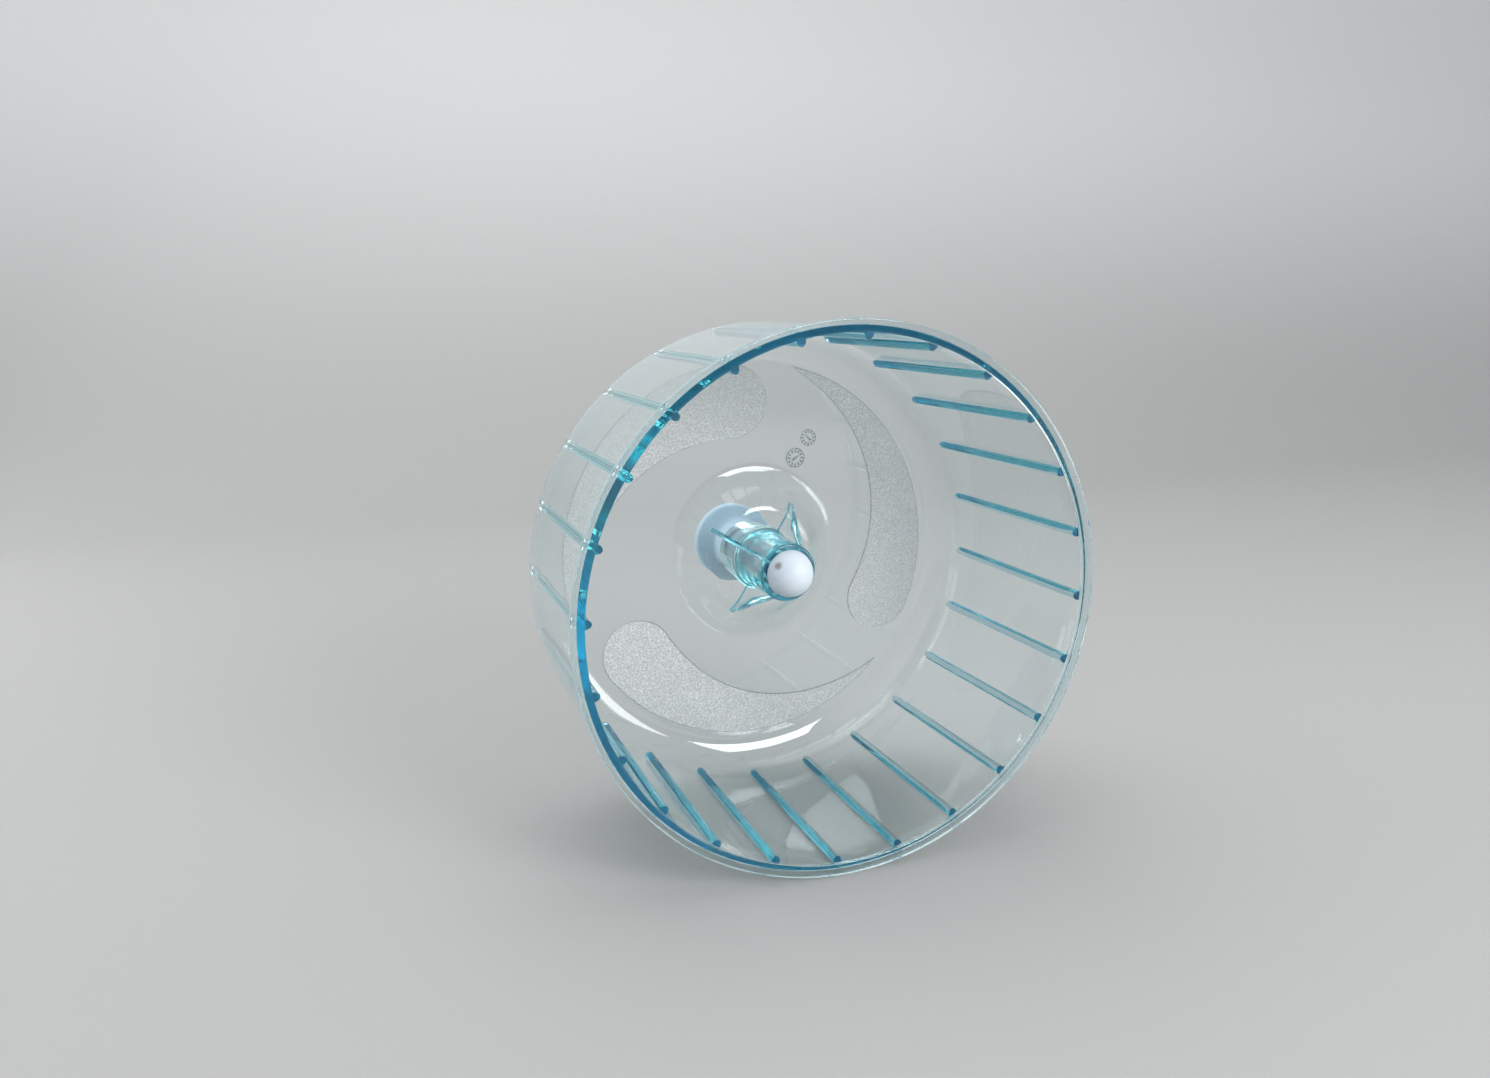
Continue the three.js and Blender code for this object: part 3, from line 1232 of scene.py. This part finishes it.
@dataclass
class MouldDial:
    """A round mark left by a dial in the mould: raised ring, twelve ticks and a pointer."""

    drum: ClearDrum
    name: str = "mould_dial_1"
    radius: float = 3.0
    reach: float = 30.8
    angle: float = math.radians(63.9)
    pointer_turn: float = 0.6
    ticks: int = 12
    height: float = 0.14
    ring_width: float = 0.42
    chamfer: float = 0.12
    tick_from: float = 0.52
    tick_to: float = 0.8
    tick_narrow: float = 0.06
    tick_wide: float = 0.12
    pointer_reach: float = 0.41
    pointer_narrow: float = 0.05
    pointer_wide: float = 0.16
    crease: float = 20.0
    ring_points: int = 48

    @classmethod
    def smaller(cls, drum: ClearDrum) -> MouldDial:
        """Sets out the smaller dial, which lies further from the hub.

        Args:
            drum: The drum that carries it.

        Returns:
            The dial.
        """
        return cls(
            drum,
            name="mould_dial_2",
            radius=2.5,
            reach=37.9,
            angle=math.radians(62.2),
            pointer_turn=2.3,
            ring_width=0.2,
            tick_to=0.9,
        )

    def bars(self, start: Array, end: Array, half_width: Array) -> Array:
        """Outlines of straight bars, each as two rows of left and right edge points.

        Args:
            start: First ends in the wheel's plane, shape (bars, 2).
            end: Last ends, shape (bars, 2).
            half_width: Half widths at the two ends, shape (2,).

        Returns:
            Edge points, shape (bars, 2, 2, 2).
        """
        along = (end - start) / np.linalg.norm(end - start, axis=1, keepdims=True)
        side = np.stack([-along[:, 1], along[:, 0]], axis=1)
        rows = np.stack([start, end], axis=1)[:, :, None, :]
        offset = side[:, None, None, :] * half_width[None, :, None, None]
        return rows + offset * np.array([-1.0, 1.0])[None, None, :, None]

    def build(self, finish: Finish) -> None:
        """Makes the dial as one mesh of closed raised bars and a closed ring.

        Args:
            finish: The plastic.
        """
        size = self.radius
        base = self.drum.relief_base
        centre = self.reach * directions(self.angle)
        out = directions(np.arange(self.ring_points) * FULL_TURN / self.ring_points)
        ring = centre + np.stack([(size - self.ring_width) * out, size * out], axis=1)
        ring_grid = slab_grid(ring, base, self.height, self.chamfer)
        vertices = ring_grid.reshape(-1, 3)
        shapes = [(vertices, outward(vertices, grid_faces(*ring_grid.shape[:2], True, True)))]
        spoke = size * directions(np.arange(self.ticks) * FULL_TURN / self.ticks)
        tick_width = size * np.array([self.tick_narrow, self.tick_wide])
        ticks = self.bars(centre + self.tick_from * spoke, centre + self.tick_to * spoke, tick_width)
        half = self.pointer_reach * size * directions(self.pointer_turn)[None]
        pointer_width = size * np.array([self.pointer_wide, self.pointer_narrow])
        pointer = self.bars(centre - half, centre + half, pointer_width)
        for outline in (*ticks, *pointer):
            shapes.append(capped(slab_grid(outline, base, self.height, self.chamfer / 2)))
        starts = np.cumsum([0] + [len(points) for points, _ in shapes])
        points = np.concatenate([points for points, _ in shapes])
        faces = np.concatenate([faces + start for (_, faces), start in zip(shapes, starts)])
        place(mesh_object(self.name, points, faces, self.crease), Body.WHEEL, Slot.CLEAR, finish)


@dataclass
class WhiteAxle:
    """The white pieces that the drum turns on: flanged base, pin and domed cap."""

    at: Stations
    pin_radius: float = 5.2
    pin_chamfer: float = 0.6
    spigot_radius: float = 3.0
    spigot_length: float = 4.0
    cap_radius: float = 6.6
    cap_skirt: float = 0.3
    cap_edge: float = 0.25
    flange_radius: float = 12.0
    flange_thickness: float = 2.5
    flange_round: float = 0.8
    flange_bevel: float = 0.3
    collar_radius: float = 7.4
    collar_fillet: float = 1.5
    collar_chamfer: float = 0.5
    base_floor: float = 2.2
    gap: float = 0.3
    speck_turn: float = math.radians(145.0)
    speck_lean: float = math.radians(61.0)
    speck_radius: float = 1.6
    crease: float = 35.0
    segments: int = 128
    dome_steps: int = 32
    edge_steps: int = 8

    @property
    def cap_rear(self) -> float:
        """Station of the cap's rear face."""
        return self.at.cap_front + self.cap_radius + self.cap_skirt

    def mark(self) -> GrimeMark:
        """The small brown mark on the cap's dome.

        Returns:
            The mark, with its place and radius in metres.
        """
        radius = self.cap_radius * math.sin(self.speck_lean)
        station = self.cap_rear - self.cap_skirt - self.cap_radius * math.cos(self.speck_lean)
        return GrimeMark(Vector(turned(radius, station, self.speck_turn)), self.speck_radius * MM)

    def cap_profile(self) -> Array:
        """Half section of the cap: a dome on a short skirt, with a blind socket behind.

        Returns:
            Rows of (radius, station).
        """
        rear, edge = self.cap_rear, self.cap_edge
        socket = self.spigot_radius + self.gap
        bottom = rear - self.spigot_length
        lip = arc((self.cap_radius - edge, rear - edge), edge, 0.0, QUARTER, steps=4)
        return joined(
            arc((0.0, rear - self.cap_skirt), self.cap_radius, -QUARTER, 0.0, self.dome_steps),
            lip,
            line(lip[-1], (socket, rear), steps=2),
            line((socket, rear), (socket, bottom), steps=2),
            line((socket, bottom), (0.0, bottom), steps=2),
        )

    def pin_profile(self) -> Array:
        """Half section of the pin: spigot, shaft and chamfered foot.

        Returns:
            Rows of (radius, station).
        """
        rear = -self.base_floor - self.gap
        shoulder = self.cap_rear + self.gap
        front = shoulder - self.spigot_length
        return joined(
            line((0.0, front), (self.spigot_radius, front), steps=2),
            line((self.spigot_radius, front), (self.spigot_radius, shoulder), steps=2),
            line((self.spigot_radius, shoulder), (self.pin_radius, shoulder), steps=2),
            line((self.pin_radius, shoulder), (self.pin_radius, rear - self.pin_chamfer), steps=12),
            line((self.pin_radius - self.pin_chamfer, rear), (0.0, rear), steps=3),
        )

    def base_profile(self) -> Array:
        """Half section of the base: socket, collar, fillet and flange.

        Returns:
            Rows of (radius, station).
        """
        socket = self.pin_radius + self.gap
        floor, front, top = -self.base_floor, -self.flange_thickness, self.at.collar_front
        fillet, edge = self.collar_fillet, self.flange_round
        foot_centre = (self.collar_radius + fillet, front - fillet)
        foot = arc(foot_centre, fillet, math.pi, QUARTER, self.edge_steps)
        rim = arc((self.flange_radius - edge, front + edge), edge, -QUARTER, 0.0, self.edge_steps)
        return joined(
            line((0.0, floor), (socket, floor), steps=3),
            line((socket, floor), (socket, top), steps=4),
            line((socket, top), (self.collar_radius - self.collar_chamfer, top), steps=2),
            line((self.collar_radius, top + self.collar_chamfer), foot[0], steps=6),
            foot,
            rim,
            line(rim[-1], (self.flange_radius, -self.flange_bevel), steps=2),
            line((self.flange_radius - self.flange_bevel, 0.0), (0.0, 0.0), steps=4),
        )

    def build(self, white: WhitePlastic, pale: WhitePlastic, grain: Group) -> None:
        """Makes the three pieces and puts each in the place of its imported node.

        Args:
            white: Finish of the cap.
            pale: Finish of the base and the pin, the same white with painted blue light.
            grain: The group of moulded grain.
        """
        cap_finish = white.build(grain, self.mark())
        axle_finish = pale.build(grain)
        profiles = {
            "axle_base": (self.base_profile(), axle_finish),
            "axle_pin": (self.pin_profile(), axle_finish),
            "axle_cap": (self.cap_profile(), cap_finish),
        }
        for node, (profile, finish) in profiles.items():
            piece = lathe_object(f"white_{node}", profile, self.segments, self.crease)
            place(piece, Body.AXLE, Slot.WHITE, finish)
            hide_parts(node)


# Studio


def facing(direction: Vector) -> Euler:
    """Turn of a lamp or camera that looks along a direction, with its top upwards."""
    return direction.to_track_quat("-Z", "Y").to_euler()


@dataclass(frozen=True)
class Lamp:
    """A soft square lamp: place, aim and width in millimetres, power in watts."""

    name: str
    place: Triple
    aim: Triple
    width: float
    power: float

    def build(self) -> None:
        """Adds the lamp to the scene."""
        light = bpy.data.lights.new(self.name, "AREA")
        light.shape = "SQUARE"
        light.size = self.width * MM
        light.energy = self.power
        lamp = in_scene(self.name, light)
        lamp.location = Vector(self.place) * MM
        lamp.rotation_euler = facing(Vector(self.aim) - Vector(self.place))


@dataclass
class Studio:
    """Floor, backdrop, lamps, world and camera."""

    floor_level: float = -70.0
    floor_front: float = -1500.0
    floor_rear: float = 430.0
    sweep_radius: float = 420.0
    sweep_steps: int = 24
    wall_height: float = 1500.0
    half_width: float = 2200.0
    lamps: tuple[Lamp, ...] = (
        Lamp("key", (330, -900, 420), (0, -30, 0), 420, 4.0),
        Lamp("side", (650, -620, 60), (0, -50, 0), 320, 1.6),
        Lamp("top", (-60, 120, 760), (0, -40, 0), 700, 1.8),
        Lamp("fill", (-560, 260, 160), (0, -50, 0), 420, 1.1),
    )
    sky_tone: Triple = (0.93, 0.965, 1.0)
    sky_level: float = 0.75
    sky_height: float = 0.75
    ground_level: float = 0.35
    ground_height: float = -0.25
    eye: Triple = (-121.5, -328.4, 75.4)
    gaze: Triple = (0.350, 0.913, -0.209)
    focal_pixels: float = 1150.0
    picture_width: float = 1490.0
    sensor: float = 36.0
    near_limit: float = 10.0
    far_limit: float = 20000.0
    bounces: int = 96
    glossy_bounces: int = 80
    transmission_bounces: int = 64

    def backdrop(self, finish: Finish) -> None:
        """Makes the floor and backdrop: one profile of floor, quarter round and wall carried across.

        Args:
            finish: The paper.
        """
        centre = (self.floor_rear, self.floor_level + self.sweep_radius)
        bend = arc(centre, self.sweep_radius, -QUARTER, 0.0, self.sweep_steps)
        profile = joined(
            line((self.floor_front, self.floor_level), bend[0], steps=8),
            bend,
            line(bend[-1], (bend[-1][0], self.wall_height), steps=4),
        )
        y, z = (np.repeat(part, 2, axis=1) for part in (profile[:, :1], profile[:, 1:]))
        x = np.broadcast_to([-self.half_width, self.half_width], y.shape)
        points = MM * np.stack([x, y, z], axis=-1)
        faces = grid_faces(len(profile), 2, False, False)[:, ::-1]
        mesh = bpy.data.meshes.new("studio_sweep")
        mesh.from_pydata(points.reshape(-1, 3).tolist(), [], faces.tolist())
        mesh.shade_smooth()
        mesh.materials.append(finish)
        in_scene("studio_sweep", mesh)

    def world(self) -> None:
        """Sets a soft surround that is brightest overhead and dimmer towards the ground."""
        world = bpy.data.worlds.new("soft_surround")
        world.use_nodes = True
        nodes = Nodes(world.node_tree)
        direction = nodes.add("ShaderNodeTexCoord").outputs["Generated"]
        height = nodes.ramp(nodes.part(direction, "Z"), self.ground_height, self.sky_height)
        strength = nodes.spread(height, self.ground_level, self.sky_level - self.ground_level)
        inputs = {"Color": (*self.sky_tone, 1.0), "Strength": strength}
        background = nodes.add("ShaderNodeBackground", inputs)
        nodes.add("ShaderNodeOutputWorld", {"Surface": background.outputs["Background"]})
        bpy.context.scene.world = world

    def camera(self) -> None:
        """Adds the camera at the photograph's viewing angle."""
        data = bpy.data.cameras.new("view")
        data.sensor_fit = "HORIZONTAL"
        data.sensor_width = self.sensor
        data.lens = self.sensor * self.focal_pixels / self.picture_width
        data.clip_start = self.near_limit * MM
        data.clip_end = self.far_limit * MM
        camera = in_scene("view", data)
        camera.location = Vector(self.eye) * MM
        camera.rotation_euler = facing(Vector(self.gaze))
        bpy.context.scene.camera = camera

    def build(self) -> None:
        """Sets up everything that isn't part of the wheel."""
        floor = self.floor_level * MM
        self.backdrop(StudioPaper().build(floor, floor + self.sweep_radius * MM))
        for lamp in self.lamps:
            lamp.build()
        self.world()
        self.camera()
        scene = bpy.context.scene
        scene.view_settings.view_transform = "Standard"
        scene.cycles.max_bounces = self.bounces
        scene.cycles.transmission_bounces = self.transmission_bounces
        scene.cycles.glossy_bounces = self.glossy_bounces


def main() -> None:
    """Builds the wheel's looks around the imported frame."""
    logging.basicConfig(level=logging.INFO, format="%(name)s: %(message)s")
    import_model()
    Studio().build()
    scratches = HairlineScratches().build()
    grain = MouldedGrain().build()
    stations = Stations.from_frame()
    drum = ClearDrum(stations)
    drum.build(ClearPlastic().build(scratches))
    FrostedCrescents(drum).build(FrostedPlastic().build(grain), MouldedEdge().build())
    # The dials' marks carry the same painted grey shade as the crescents' borders.
    dial_plastic = MouldedEdge("dial_plastic").build()
    for dial in (MouldDial(drum), MouldDial.smaller(drum)):
        dial.build(dial_plastic)
    WhiteAxle(stations).build(WhitePlastic(), PAINTED_BLUE_LIGHT_PLASTIC, grain)


if __name__ == "__main__":
    main()
